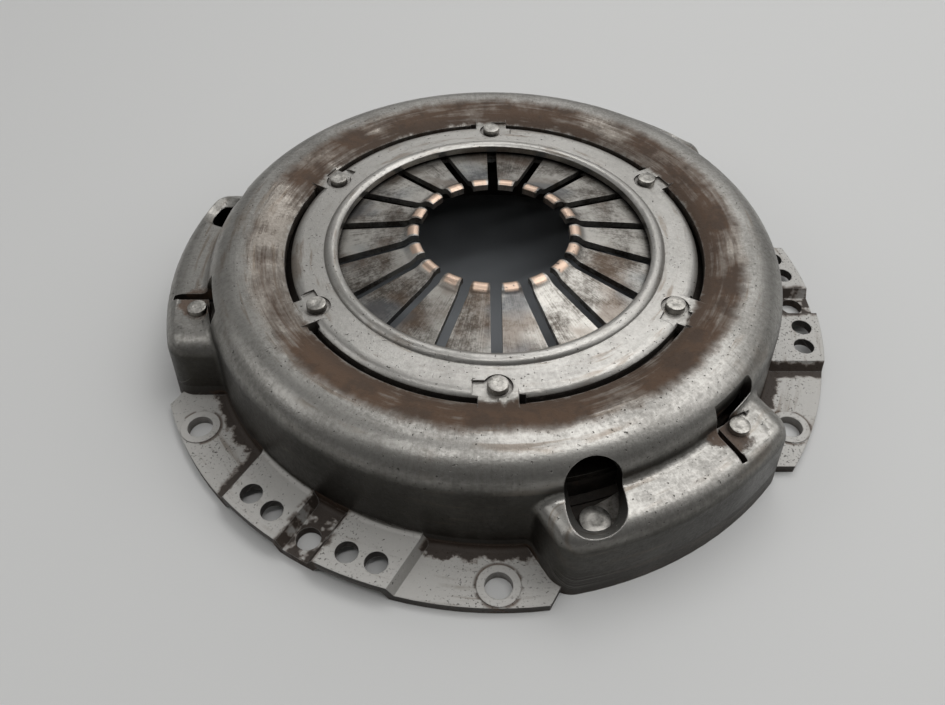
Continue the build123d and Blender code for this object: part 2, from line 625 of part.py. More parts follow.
# ---------------------------------------------------------------- drive straps
def strap_leaf(number):
    """One leaf of the strap pack on the +X side; leaf 1 lies against the cover."""
    top = PAD_UNDER_Z - (LEAF_T + LEAF_GAP) * (number - 1) - LEAF_GAP
    fall = (PAD_UNDER_Z - STACK) - PLATE_SEAT_Z - LEAF_GAP
    line = [
        (COVER_RIVET_Y + STRAP_W, top),
        (COVER_RIVET_Y - STRAP_FLAT, top),
        (STRAP_FLAT - PLATE_RIVET_Y, top - fall),
        (-STRAP_W - PLATE_RIVET_Y, top - fall),
    ]
    under = [(y, z - LEAF_T) for y, z in reversed(line)]
    strip = prism_along_x(line + under, STRAP_REACH - STRAP_W / 2, STRAP_REACH + STRAP_W / 2)
    middle = Pos(STRAP_REACH, (COVER_RIVET_Y - PLATE_RIVET_Y) / 2)
    plan = middle * SlotCenterToCenter(COVER_RIVET_Y + PLATE_RIVET_Y, STRAP_W, rotation=90)
    leaf = strip & extrude(plan, CREST_Z)
    leaf = leaf - post(CS_SHANK_R + HOLE_PLAY, 0, CREST_Z, STRAP_REACH, COVER_RIVET_Y)
    return leaf - post(PS_SHANK_R + HOLE_PLAY, 0, CREST_Z, STRAP_REACH, -PLATE_RIVET_Y)


def cover_strap_rivet():
    under = PAD_UNDER_Z - STACK
    return round_rivet(CS_HEAD_R, PAD_TOP_Z, PAD_TOP_Z + CS_HEAD_H, CS_SHANK_R,
                       CS_FOOT_R, under - CS_FOOT_H, under, STRAP_REACH, COVER_RIVET_Y)


def plate_strap_rivet():
    seat = PLATE_SEAT_Z + STACK
    lug_low = FACE_Z + PS_FOOT_H
    return round_rivet(PS_HEAD_R, seat, seat + PS_HEAD_H, PS_SHANK_R,
                       PS_FOOT_R, FACE_Z, lug_low, STRAP_REACH, -PLATE_RIVET_Y)


# ---------------------------------------------------------------- files
def save(shape, name):
    export_step(shape, f"parts/{name}.step")


os.makedirs("parts", exist_ok=True)
save(cover(), "cover")
save(diaphragm_spring(), "diaphragm_spring")
save(fulcrum_ring(), "fulcrum_ring")
save(pressure_plate(), "pressure_plate")
for k, rivet in enumerate(round_copies(fulcrum_rivet(), RIVETS, FIRST_RIVET)):
    save(rivet, f"fulcrum_rivet_{k + 1}")
for k, rivet in enumerate(round_copies(cover_strap_rivet(), TOWERS, FIRST_TOWER)):
    save(rivet, f"cover_strap_rivet_{k + 1}")
for k, rivet in enumerate(round_copies(plate_strap_rivet(), TOWERS, FIRST_TOWER)):
    save(rivet, f"plate_strap_rivet_{k + 1}")
for leaf in range(LEAVES):
    for k, strap in enumerate(round_copies(strap_leaf(leaf + 1), TOWERS, FIRST_TOWER)):
        save(strap, f"strap_{k + 1}_leaf_{leaf + 1}")
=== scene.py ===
# %% [markdown]
# # A used clutch pressure plate, dressed for a render
#
# The solids come in as a fixed frame: a pressed steel cover, a diaphragm spring with
# eighteen fingers, a cast iron friction ring and the rivets and leaf straps that hold them.
# This lesson gives each of them its finish, and replaces the few pieces whose real shape
# flexes or is rounder than its solid. Sizes are in metres.

# %% Load the frame
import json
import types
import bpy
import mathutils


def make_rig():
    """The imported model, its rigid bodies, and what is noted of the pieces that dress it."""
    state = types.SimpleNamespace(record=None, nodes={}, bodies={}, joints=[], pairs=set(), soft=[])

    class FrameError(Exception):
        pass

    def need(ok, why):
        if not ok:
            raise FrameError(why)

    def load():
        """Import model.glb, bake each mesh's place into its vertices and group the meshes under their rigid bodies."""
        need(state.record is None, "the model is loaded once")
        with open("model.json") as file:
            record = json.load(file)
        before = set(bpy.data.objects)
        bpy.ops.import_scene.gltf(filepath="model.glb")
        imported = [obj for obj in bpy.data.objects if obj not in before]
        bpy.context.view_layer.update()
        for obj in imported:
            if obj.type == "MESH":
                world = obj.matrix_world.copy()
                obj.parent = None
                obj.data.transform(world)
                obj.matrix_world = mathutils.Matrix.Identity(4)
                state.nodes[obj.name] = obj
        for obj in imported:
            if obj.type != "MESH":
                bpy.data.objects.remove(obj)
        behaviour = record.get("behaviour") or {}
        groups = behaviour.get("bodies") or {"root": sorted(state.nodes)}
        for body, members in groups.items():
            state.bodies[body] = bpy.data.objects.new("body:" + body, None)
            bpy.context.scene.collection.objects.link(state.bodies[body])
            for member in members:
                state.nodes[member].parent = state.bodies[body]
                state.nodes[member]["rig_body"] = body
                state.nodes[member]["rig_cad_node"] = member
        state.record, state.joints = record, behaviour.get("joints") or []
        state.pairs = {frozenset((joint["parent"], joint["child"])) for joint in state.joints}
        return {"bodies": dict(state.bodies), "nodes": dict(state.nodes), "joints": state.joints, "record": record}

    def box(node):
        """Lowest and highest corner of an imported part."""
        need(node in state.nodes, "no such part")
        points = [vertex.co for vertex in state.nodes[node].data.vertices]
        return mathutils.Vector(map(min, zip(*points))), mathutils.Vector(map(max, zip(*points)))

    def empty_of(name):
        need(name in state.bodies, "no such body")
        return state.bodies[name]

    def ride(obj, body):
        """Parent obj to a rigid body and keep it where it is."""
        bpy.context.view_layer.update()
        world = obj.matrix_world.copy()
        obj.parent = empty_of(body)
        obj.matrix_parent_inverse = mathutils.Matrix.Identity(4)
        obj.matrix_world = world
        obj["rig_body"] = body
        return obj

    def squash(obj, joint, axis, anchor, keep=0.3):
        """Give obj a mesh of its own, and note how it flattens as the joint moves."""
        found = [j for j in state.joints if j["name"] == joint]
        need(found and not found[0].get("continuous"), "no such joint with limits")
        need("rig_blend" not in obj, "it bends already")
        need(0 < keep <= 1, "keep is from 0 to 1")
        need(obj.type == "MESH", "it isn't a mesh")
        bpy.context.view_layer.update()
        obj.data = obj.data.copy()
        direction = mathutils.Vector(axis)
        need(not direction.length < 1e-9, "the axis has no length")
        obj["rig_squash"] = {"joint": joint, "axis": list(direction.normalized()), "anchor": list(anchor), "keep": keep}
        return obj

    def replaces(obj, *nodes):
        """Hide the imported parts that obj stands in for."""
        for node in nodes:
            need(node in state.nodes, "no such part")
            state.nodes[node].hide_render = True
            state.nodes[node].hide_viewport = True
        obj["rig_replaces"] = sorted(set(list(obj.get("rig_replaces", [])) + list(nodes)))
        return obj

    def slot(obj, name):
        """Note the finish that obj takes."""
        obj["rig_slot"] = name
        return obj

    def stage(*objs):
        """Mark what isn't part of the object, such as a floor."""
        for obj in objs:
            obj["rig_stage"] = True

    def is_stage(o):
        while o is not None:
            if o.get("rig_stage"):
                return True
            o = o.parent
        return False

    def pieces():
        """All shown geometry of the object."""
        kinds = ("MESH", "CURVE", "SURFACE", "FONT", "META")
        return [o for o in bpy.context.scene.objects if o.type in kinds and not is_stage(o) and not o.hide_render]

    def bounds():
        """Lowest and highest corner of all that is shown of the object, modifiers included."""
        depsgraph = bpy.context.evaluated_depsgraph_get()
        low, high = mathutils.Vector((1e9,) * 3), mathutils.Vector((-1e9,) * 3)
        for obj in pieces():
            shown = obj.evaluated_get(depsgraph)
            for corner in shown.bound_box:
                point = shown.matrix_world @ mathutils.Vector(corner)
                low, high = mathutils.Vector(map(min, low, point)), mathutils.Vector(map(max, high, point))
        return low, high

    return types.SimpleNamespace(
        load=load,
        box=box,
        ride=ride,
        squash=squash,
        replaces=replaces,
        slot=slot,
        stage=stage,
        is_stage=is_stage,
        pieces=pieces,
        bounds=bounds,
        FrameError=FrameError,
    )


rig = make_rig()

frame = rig.load()
cad_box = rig.bounds()

import bpy
import json
from math import cos, pi, radians, sin
from mathutils import Vector

MM = 0.001
NODES = frame["nodes"]
print("nodes", len(NODES), "bodies", sorted(frame["bodies"]))

# %% [markdown]
# ## The camera
#
# The camera looks down at the cover from the front, close to it and with a fairly wide
# lens, so that the near side looks larger than the far side. It stands a little to the left
# of the clutch's axis and is tilted down by 48 degrees.

# %% Place the camera
CAMERA_PLACE = Vector((-8.3, -243.8, 247.0)) * MM
CAMERA_DOWN = 48.14
CAMERA_LENS = 31.34
CAMERA_SENSOR = 36.0

camera = bpy.data.objects.new("camera", bpy.data.cameras.new("camera"))
bpy.context.scene.collection.objects.link(camera)
camera.location = CAMERA_PLACE
camera.rotation_euler = (radians(90 - CAMERA_DOWN), 0, 0)
camera.data.sensor_width = CAMERA_SENSOR
camera.data.lens = CAMERA_LENS
camera.data.clip_start = 0.01
bpy.context.scene.camera = camera
print("camera at", tuple(round(c, 3) for c in camera.location))

# %% [markdown]
# ## Picking one object
#
# Modelling works on the selected mesh, and the loaded solids are still selected. So each
# step starts by deselecting everything and picking its one object. A finish is given to a
# piece by emptying its list of materials and adding one.

# %% Pick an object, give it a finish
def pick(obj):
    """Makes obj the only selected object, and the active one."""
    for other in bpy.context.view_layer.objects:
        other.select_set(False)
    obj.select_set(True)
    bpy.context.view_layer.objects.active = obj


def wear_finish(obj, material):
    """Gives obj this material on all its faces."""
    obj.data.materials.clear()
    obj.data.materials.append(material)


def new_finish(name):
    """A material with one Principled shader, and its node tree."""
    material = bpy.data.materials.new(name)
    material.use_nodes = True
    tree = material.node_tree
    shader = tree.nodes["Principled BSDF"]
    return material, tree, shader


print("selected by the loader", sum(obj.select_get() for obj in bpy.context.view_layer.objects))

# %% [markdown]
# ## Sums on a surface
#
# A material is a chain of nodes, and a chain is easier to read when one short call adds one
# node. Every pattern below is a number between 0 and 1 at each point of the metal: numbers
# are multiplied where both must hold and the larger one is taken where either is enough.
# A ramp turns any measure, such as a height, into such a number.

# %% Sockets, sums and ramps
def put(socket, value):
    """Sets a socket, or links another node's output to it."""
    if isinstance(value, bpy.types.NodeSocket):
        socket.id_data.links.new(value, socket)
    else:
        socket.default_value = value


def object_place(tree):
    return tree.nodes.new("ShaderNodeTexCoord").outputs["Object"]


def maths(tree, operation, first, second=0.0):
    node = tree.nodes.new("ShaderNodeMath")
    node.operation = operation
    put(node.inputs[0], first)
    put(node.inputs[1], second)
    return node.outputs[0]


def product(tree, *values):
    out = values[0]
    for value in values[1:]:
        out = maths(tree, "MULTIPLY", out, value)
    return out


def strongest(tree, *values):
    out = values[0]
    for value in values[1:]:
        out = maths(tree, "MAXIMUM", out, value)
    return out


def spread(tree, value, low, high, to_low=0.0, to_high=1.0):
    """Turns low..high smoothly into to_low..to_high, and holds it beyond them."""
    node = tree.nodes.new("ShaderNodeMapRange")
    node.interpolation_type = "SMOOTHSTEP"
    for name, number in (("From Min", low), ("From Max", high), ("To Min", to_low), ("To Max", to_high)):
        node.inputs[name].default_value = number
    put(node.inputs["Value"], value)
    return node.outputs["Result"]


def ragged_by(tree, measure, cloud, reach):
    """Shifts a measure up and down by a cloud, so that its edge frays by up to half of reach."""
    swing = maths(tree, "MULTIPLY", maths(tree, "SUBTRACT", cloud, 0.5), reach)
    return maths(tree, "ADD", measure, swing)


def band(tree, value, start, full, fade, end):
    """1 between full and fade, and 0 outside start and end."""
    rising = spread(tree, value, start, full)
    falling = spread(tree, value, fade, end, 1.0, 0.0)
    return product(tree, rising, falling)


print("millimetre", MM, "in the scene's units")

# %% [markdown]
# ## Clouds and blends
#
# Dirt and wear are never even. Noise makes soft clouds of a chosen size, and a blend goes
# from one colour or number to another by such a cloud. The clouds are laid on the object's
# own coordinates, so they stay on the metal when a piece moves.

# %% Noise and blends
def noise(tree, place, size, detail=4.0, rough=0.55, stretch=None):
    """Cloudy noise whose blobs are about size metres across."""
    if stretch:
        node = tree.nodes.new("ShaderNodeMapping")
        put(node.inputs["Vector"], place)
        node.inputs["Scale"].default_value = stretch
        place = node.outputs["Vector"]
    node = tree.nodes.new("ShaderNodeTexNoise")
    put(node.inputs["Vector"], place)
    node.inputs["Scale"].default_value = 1 / size
    node.inputs["Detail"].default_value = detail
    node.inputs["Roughness"].default_value = rough
    return node.outputs["Fac"]


def blend(tree, kind, share, first, second):
    node = tree.nodes.new("ShaderNodeMix")
    node.data_type = kind
    put(node.inputs["Factor"], share)
    put(node.inputs["A"], first)
    put(node.inputs["B"], second)
    return node.outputs["Result"]


def blend_colours(tree, share, first, second):
    return blend(tree, "RGBA", share, first, second)


def blend_values(tree, share, first, second):
    return blend(tree, "FLOAT", share, first, second)


print("noise sizes are given in metres")

# %% [markdown]
# ## Where a point is, and how its surface lies
#
# The clutch is round, so a point is best told by its distance from the axis, its angle and
# its height. Corners, which ambient occlusion finds, get dirt and painted shade, and hands
# polish edges, which the bevel node finds by comparing its rounded normal with the true one.
# Bump adds what is too fine to model.

# %% Place, corners, edges and bump
CORNER_RAYS = 6
EDGE_RAYS = 4


def polar(tree, place):
    """Distance from the clutch's axis, the angle round it and the height, of a point."""
    parts = tree.nodes.new("ShaderNodeSeparateXYZ")
    put(parts.inputs[0], place)
    flat = tree.nodes.new("ShaderNodeVectorMath")
    flat.operation = "MULTIPLY"
    put(flat.inputs[0], place)
    flat.inputs[1].default_value = (1, 1, 0)
    length = tree.nodes.new("ShaderNodeVectorMath")
    length.operation = "LENGTH"
    put(length.inputs[0], flat.outputs[0])
    angle = maths(tree, "ARCTAN2", parts.outputs["Y"], parts.outputs["X"])
    return length.outputs["Value"], angle, parts.outputs["Z"]


def crevice(tree, reach):
    """How shut in a point is: 1 deep in a corner, 0 on open metal."""
    node = tree.nodes.new("ShaderNodeAmbientOcclusion")
    node.samples = CORNER_RAYS
    node.inputs["Distance"].default_value = reach
    return maths(tree, "SUBTRACT", 1.0, node.outputs["AO"])


def soft_edges(tree, radius):
    """A normal that rounds sharp edges off, and how close a point is to such an edge."""
    soft = tree.nodes.new("ShaderNodeBevel")
    soft.samples = EDGE_RAYS
    soft.inputs["Radius"].default_value = radius
    true = tree.nodes.new("ShaderNodeNewGeometry")
    dot = tree.nodes.new("ShaderNodeVectorMath")
    dot.operation = "DOT_PRODUCT"
    put(dot.inputs[0], soft.outputs["Normal"])
    put(dot.inputs[1], true.outputs["Normal"])
    near = spread(tree, maths(tree, "SUBTRACT", 1.0, dot.outputs["Value"]), 0.02, 0.2)
    return soft.outputs["Normal"], near


def bump(tree, height, depth, normal=None):
    node = tree.nodes.new("ShaderNodeBump")
    node.inputs["Strength"].default_value = 1.0
    node.inputs["Distance"].default_value = depth
    put(node.inputs["Height"], height)
    if normal is not None:
        put(node.inputs["Normal"], normal)
    return node.outputs["Normal"]


print("rays for corners", CORNER_RAYS, "and for edges", EDGE_RAYS)

# %% [markdown]
# ## Marks that follow the clutch's shape
#
# Wear on a turned or pressed ring runs round its axis or straight out from it. A noise that
# is fed the direction of a point and its distance from the axis, instead of x, y and z,
# gives strokes that follow the ring without a seam. Speckles and the darkening of upright
# walls are used on several pieces, so they get helpers too.

# %% Strokes, specks and walls
STROKE_ROUGH = 0.6
SPECK_REACH = 0.52


def strokes(tree, place, length, width, reach, outward=False, detail=3.0):
    """Long thin noise at about this reach from the axis: round it, or straight out from it."""
    radius, angle, height = polar(tree, place)
    out = tree.nodes.new("ShaderNodeCombineXYZ")
    put(out.inputs["X"], maths(tree, "COSINE", angle))
    put(out.inputs["Y"], maths(tree, "SINE", angle))
    turn = tree.nodes.new("ShaderNodeVectorMath")
    turn.operation = "SCALE"
    put(turn.inputs[0], out.outputs[0])
    turn.inputs["Scale"].default_value = reach / (width if outward else length)
    both = tree.nodes.new("ShaderNodeCombineXYZ")
    along = maths(tree, "ADD", radius, height)
    put(both.inputs["Z"], maths(tree, "MULTIPLY", along, 1 / (length if outward else width)))
    total = tree.nodes.new("ShaderNodeVectorMath")
    put(total.inputs[0], turn.outputs[0])
    put(total.inputs[1], both.outputs[0])
    node = tree.nodes.new("ShaderNodeTexNoise")
    put(node.inputs["Vector"], total.outputs[0])
    node.inputs["Scale"].default_value = 1.0
    node.inputs["Detail"].default_value = detail
    node.inputs["Roughness"].default_value = STROKE_ROUGH
    return node.outputs["Fac"]


def specks(tree, place, size, share):
    """Small dots, 1 inside them; share is the part of the surface they cover."""
    dots = noise(tree, place, size, 2.0, 0.5)
    limit = 0.5 + SPECK_REACH * (0.5 - share)
    return spread(tree, dots, limit, limit + 0.05)


def upright(tree):
    """1 on walls, 0 on level metal, from the surface's own direction."""
    parts = tree.nodes.new("ShaderNodeSeparateXYZ")
    put(parts.inputs[0], tree.nodes.new("ShaderNodeTexCoord").outputs["Normal"])
    return spread(tree, parts.outputs["Z"], 0.12, 0.80, 1.0, 0.0)


print("stroke roughness", STROKE_ROUGH)

# %% [markdown]
# ## The cover's finish
#
# The cover is bare pressed steel. Handling and heat have left it a warm grey satin with fine
# black pits. Clutch dust and oil have baked to a brown crust in the valley between the ring
# and the dome, where a hand has rubbed some of it thin again, and on the slopes of the
# flange's raised pads. The walls are much darker than the level metal, darkest at the foot,
# partly from staining and partly from painted shade.
# Edges that hands and tools touch are brighter. All of it is worked out from the distance
# to the axis, the height and the angle inside one of the three like sections.

# %% Thirds of the cover, and the places in them
SECTION_TURN = 120.0
SECTION_SHIFT = 60.0
BOLT_CIRCLE = 125.0 * MM
BOLT_ANGLE = 30.0


def section_place(tree, radius, angle, middle=0.0):
    """A point's place in its third of the cover: along that third's middle line, and sideways."""
    turn = radians(SECTION_TURN)
    shifted = maths(tree, "ADD", angle, radians(SECTION_SHIFT - middle) + 2 * turn)
    local = maths(tree, "SUBTRACT", maths(tree, "MODULO", shifted, turn), radians(SECTION_SHIFT))
    out = product(tree, radius, maths(tree, "COSINE", local))
    return out, product(tree, radius, maths(tree, "SINE", local))


def distance(tree, out, side, centre):
    """Distance from a centre given in the same two directions."""
    out = maths(tree, "SUBTRACT", out, centre[0])
    side = maths(tree, "SUBTRACT", side, centre[1])
    squares = maths(tree, "ADD", product(tree, out, out), product(tree, side, side))
    return maths(tree, "SQRT", squares)


def bolt_distance(tree, radius, angle):
    """Distance from the axis of the nearest bolt hole."""
    out, side = section_place(tree, radius, angle)
    hole = (BOLT_CIRCLE * cos(radians(BOLT_ANGLE)), BOLT_CIRCLE * sin(radians(BOLT_ANGLE)))
    return distance(tree, out, maths(tree, "ABSOLUTE", side), hole)


print("bolt holes", BOLT_ANGLE, "degrees either side of a section's middle")

# %% [markdown]
# ## The brown crust
#
# The crust fills the valley of the dome, and its colour is darker towards the arc slots; it
# thins where it was rubbed. Its outer border is frayed by strokes that run outwards. On the
# flange it lies between the raised pads, on one slope of each pad and along the foot of the
# dome, and it has crept out of the cuts round each strap rivet. Every place is a band of
# radius, height or sideways distance, and clouds break the bands up.

# %% Where the crust lies
VALLEY = [r * MM for r in (78.5, 81.0, 90.5, 96.5)]
VALLEY_FLOOR = (32 * MM, 36 * MM)
VALLEY_FRAY = 11 * MM
RUBBED_AT = 188.0
DOME_FOOT = 112.0 * MM
FLANGE_TOP = 8.0 * MM
PAD_GRIME = [t * MM for t in (-9.5, -7.5, 7.0, 9.0)]
SLOPE_GRIME = [t * MM for t in (-39.5, -38.0, -34.0, -33.0)]
PAD_FRAY = 5 * MM
FOOT_FRINGE = (115.5 * MM, 117.5 * MM)
FRINGE_TOP = (5.0 * MM, 6.5 * MM)
STRAP_RIVET_AT = 74.0
STRAP_GRIME_AT = (112.0 * MM, -4.5 * MM)
STRAP_GRIME = (6.5 * MM, 9.0 * MM)
STRAP_FRAY = 16 * MM
TOWER_TOP = [z * MM for z in (26, 27, 31, 33)]


def strap_grime(tree, place, radius, angle, height):
    """Oil that has crept out of the cuts round each strap rivet and dried."""
    out, side = section_place(tree, radius, angle, STRAP_RIVET_AT)
    clouds = noise(tree, place, 0.007, 5.0, 0.65)
    near = ragged_by(tree, distance(tree, out, side, STRAP_GRIME_AT), clouds, STRAP_FRAY)
    return product(tree, spread(tree, near, *STRAP_GRIME, 1.0, 0.0), band(tree, height, *TOWER_TOP))


def valley_grime(tree, place, radius, angle, height):
    """The thin film and the thick crust in the dome's valley."""
    patchy = noise(tree, place, 0.036, 5.0, 0.62)
    sweeps = strokes(tree, place, 30 * MM, 2.4 * MM, 88 * MM, detail=5.0)
    bristles = strokes(tree, place, 8 * MM, 4.0 * MM, 95 * MM, True, 5.0)
    clouds = blend_values(tree, 0.5, bristles, noise(tree, place, 0.012, 5.0, 0.65))
    frayed = ragged_by(tree, radius, clouds, VALLEY_FRAY)
    film = product(tree, band(tree, frayed, *VALLEY), spread(tree, height, *VALLEY_FLOOR))
    from_hand = maths(tree, "COSINE", maths(tree, "SUBTRACT", angle, radians(RUBBED_AT)))
    rubbed = product(tree, spread(tree, from_hand, 0.80, 0.95), 0.14)
    keep = maths(tree, "SUBTRACT", blend_values(tree, 0.30, patchy, sweeps), rubbed)
    return film, product(tree, film, spread(tree, keep, 0.36, 0.50))


def flange_grime(tree, place, radius, angle, height, low):
    """Crust between the pads, on their slopes and along the dome's foot."""
    clouds = noise(tree, place, 0.005, 4.0, 0.6)
    offset = ragged_by(tree, section_place(tree, radius, angle)[1], clouds, PAD_FRAY)
    patches = spread(tree, noise(tree, place, 0.008, 3.0, 0.6), 0.40, 0.50)
    between = product(tree, band(tree, offset, *PAD_GRIME), patches)
    slopes = strongest(tree, between, band(tree, offset, *SLOPE_GRIME))
    reach = ragged_by(tree, radius, clouds, PAD_FRAY * 2.2)
    fringe = spread(tree, reach, *FOOT_FRINGE, 1.0, 0.0)
    fringe = product(tree, fringe, spread(tree, height, *FRINGE_TOP, 1.0, 0.0))
    outside = spread(tree, radius, DOME_FOOT - 2 * MM, DOME_FOOT)
    return product(tree, strongest(tree, slopes, fringe), low, outside)


print("valley from", VALLEY[0], "to", VALLEY[-1])

# %% [markdown]
# ## The bare steel
#
# Two tones of warm grey are mixed by clouds, fine grain and faint brushing, round the axis
# and outwards. The level faces of the ring and the flange are lighter than the dome, partly
# cleaner metal and partly painted light. Upright walls get dark staining and painted shade
# that deepen to the foot, with a few long scrapes near the tower's lower edge.

# %% Cover steel: its colours
STEEL_DARK = (0.235, 0.226, 0.208, 1.0)
STEEL_LIGHT = (0.430, 0.417, 0.390, 1.0)
STEEL_RUBBED = (0.540, 0.526, 0.498, 1.0)
# Near-black colour for the walls: staining and painted shade together.
WALL_STAIN_AND_SHADE = (0.026, 0.024, 0.020, 1.0)
PIT = (0.030, 0.026, 0.022, 1.0)
GRIME = (0.082, 0.042, 0.020, 1.0)
# Near-black brown for deep crust, also used as painted shade in corners, under the ring and at the walls' foot.
DEEP_GRIME_AND_SHADE = (0.014, 0.009, 0.006, 1.0)
SMEAR = (0.190, 0.145, 0.105, 1.0)
RING_EDGE = 77.5 * MM
WALL_FADES = (31 * MM, 39 * MM)
WALL_FOOT = (3 * MM, 15 * MM)
SCRAPES = [z * MM for z in (2, 4, 10, 14)]


def bare_steel(tree, place, radius, tone, low, level):
    """Two tones of steel, lighter on the level faces of the ring and the flange, partly cleaner metal and partly
    painted light, under smears.
    """
    steel = blend_colours(tree, spread(tree, tone, 0.38, 0.62), STEEL_DARK, STEEL_LIGHT)
    on_ring = spread(tree, radius, RING_EDGE - 1 * MM, RING_EDGE, 1.0, 0.0)
    # Partly painted light: level flange metal is lightened as if more light reached it.
    clean_and_lit = strongest(tree, product(tree, on_ring, 0.42), product(tree, low, 0.85))
    return blend_colours(tree, product(tree, clean_and_lit, level), steel, STEEL_RUBBED)


def stained_and_shaded_walls(tree, place, radius, height, steel):
    """Dark staining and painted shade on upright walls, and long scrapes low on the towers."""
    patches = spread(tree, noise(tree, place, 0.022, 5.0, 0.6), 0.2, 0.75, 1.0, 0.92)
    # Staining and painted shade: upright walls are darkened, most of all near the foot.
    wall = product(tree, upright(tree), spread(tree, height, *WALL_FADES, 1.0, 0.45), patches)
    foot = spread(tree, height, *WALL_FOOT, 1.0, 0.0)
    stain_and_shade = blend_colours(tree, product(tree, foot, 0.75), WALL_STAIN_AND_SHADE, DEEP_GRIME_AND_SHADE)
    colour = blend_colours(tree, product(tree, wall, 0.96), steel, stain_and_shade)
    scrapes = spread(tree, strokes(tree, place, 70 * MM, 0.6 * MM, 128 * MM), 0.58, 0.66)
    scrapes = product(tree, scrapes, upright(tree), band(tree, height, *SCRAPES))
    scrapes = product(tree, scrapes, spread(tree, radius, 120 * MM, 122 * MM))
    return blend_colours(tree, product(tree, scrapes, 0.45), colour, STEEL_DARK)


print("steel from", STEEL_DARK[:3], "to", STEEL_RUBBED[:3])

# %% [markdown]
# ## Steel, marks and crust together
#
# The layers go on in the order in which they came: bare steel, wall staining with painted
# shade, smears, pits, the ground seats round the bolt holes, then the crust, whose deep
# brown in corners is partly painted shade, and last the edges that hands have polished.
# Where crust lies the surface stops being metal and turns rough, and the crust's own bump
# stands on the fine grain of the sheet.

# %% Cover steel: the finish
SEAT_EDGE = 7.2 * MM
SLOT_SIDE = (81 * MM, 87 * MM)
GRAIN_DEPTH = 0.09 * MM
CRUST_DEPTH = 0.4 * MM


def cover_steel():
    material, tree, shader = new_finish("cover_steel")
    place = object_place(tree)
    radius, angle, height = polar(tree, place)
    low = spread(tree, height, FLANGE_TOP, FLANGE_TOP + 1 * MM, 1.0, 0.0)
    level = maths(tree, "SUBTRACT", 1.0, upright(tree))

    clouds = noise(tree, place, 0.040, 6.0, 0.62)
    fine = noise(tree, place, 0.0016, 4.0, 0.75)
    tone = blend_values(tree, 0.42, clouds, fine)
    tone = blend_values(tree, 0.10, tone, strokes(tree, place, 14 * MM, 0.45 * MM, 95 * MM))
    tone = blend_values(tree, 0.10, tone, strokes(tree, place, 7 * MM, 0.5 * MM, 95 * MM, True))
    steel = bare_steel(tree, place, radius, tone, low, level)
    colour = stained_and_shaded_walls(tree, place, radius, height, steel)

    smear = spread(tree, strokes(tree, place, 30 * MM, 3 * MM, 95 * MM), 0.53, 0.68)
    on_level = spread(tree, level, 0.0, 1.0, 0.25, 1.0)
    smear = product(tree, smear, spread(tree, clouds, 0.42, 0.58), 0.6, on_level)
    colour = blend_colours(tree, smear, colour, SMEAR)
    pits = specks(tree, place, 0.0010, 0.17)
    many = product(tree, low, spread(tree, clouds, 0.40, 0.60), specks(tree, place, 0.0009, 0.30))
    pitted = product(tree, strongest(tree, pits, many), 0.8)
    colour = blend_colours(tree, pitted, colour, PIT)

    film, valley = valley_grime(tree, place, radius, angle, height)
    flange = flange_grime(tree, place, radius, angle, height, low)
    colour = blend_colours(tree, product(tree, film, 0.42), colour, SMEAR)
    # Crust where ambient occlusion finds corners: partly real crust, partly painted shade.
    corner = spread(tree, crevice(tree, 6 * MM), 0.34, 0.74)
    corner = product(tree, corner, spread(tree, noise(tree, place, 0.006, 4.0, 0.7), 0.25, 0.45))
    bolt = bolt_distance(tree, radius, angle)
    seat = product(tree, low, spread(tree, bolt, SEAT_EDGE - 0.6 * MM, SEAT_EDGE, 1.0, 0.0))
    groove = band(tree, bolt, *(SEAT_EDGE + step * MM for step in (-0.3, 0.0, 0.3, 1.4)))
    groove = product(tree, groove, low, spread(tree, noise(tree, place, 0.006, 3.0, 0.6), 0.44, 0.54))
    colour = blend_colours(tree, product(tree, seat, 0.55), colour, STEEL_RUBBED)

    flange = product(tree, flange, maths(tree, "SUBTRACT", 1.0, seat))
    oily = product(tree, strap_grime(tree, place, radius, angle, height), 0.9)
    # Crust, oil and the partly painted shade of the corners together.
    dirt_and_corner_shade = strongest(tree, valley, flange, corner, product(tree, groove, 0.85), oily)
    # Deepest brown on thick flange crust and in corners, where it is partly painted shade.
    thick = spread(tree, strongest(tree, product(tree, flange, 0.8), corner), 0.3, 1.0)
    mottled = product(tree, spread(tree, noise(tree, place, 0.009, 5.0, 0.68), 0.44, 0.62), 0.42)
    # Darker towards the arc slots.
    darker_by_slot = spread(tree, radius, *SLOT_SIDE, 0.40, 0.0)
    crust = blend_colours(tree, strongest(tree, thick, mottled, darker_by_slot), GRIME, DEEP_GRIME_AND_SHADE)
    colour = blend_colours(tree, product(tree, dirt_and_corner_shade, 0.94), colour, crust)

    rounded, edge = soft_edges(tree, 0.6 * MM)
    worn = product(tree, edge, maths(tree, "SUBTRACT", 1.0, product(tree, dirt_and_corner_shade, 0.5)))
    colour = blend_colours(tree, product(tree, worn, 0.65), colour, STEEL_RUBBED)
    put(shader.inputs["Base Color"], colour)
    shader.inputs["Specular IOR Level"].default_value = 0.35
    dull = strongest(tree, dirt_and_corner_shade, product(tree, low, 0.60))
    put(shader.inputs["Metallic"], spread(tree, dull, 0.1, 0.8, 0.92, 0.0))
    rough = blend_values(tree, spread(tree, tone, 0.38, 0.62), 0.46, 0.30)
    put(shader.inputs["Roughness"], blend_values(tree, dull, rough, 0.64))

    grain = bump(tree, maths(tree, "SUBTRACT", fine, pitted), GRAIN_DEPTH, rounded)
    caked = product(tree, dirt_and_corner_shade, noise(tree, place, 0.0028, 5.0, 0.7))
    put(shader.inputs["Normal"], bump(tree, caked, CRUST_DEPTH, grain))
    return material


COVER_STEEL = cover_steel()
print("cover finish", len(COVER_STEEL.node_tree.nodes), "nodes")

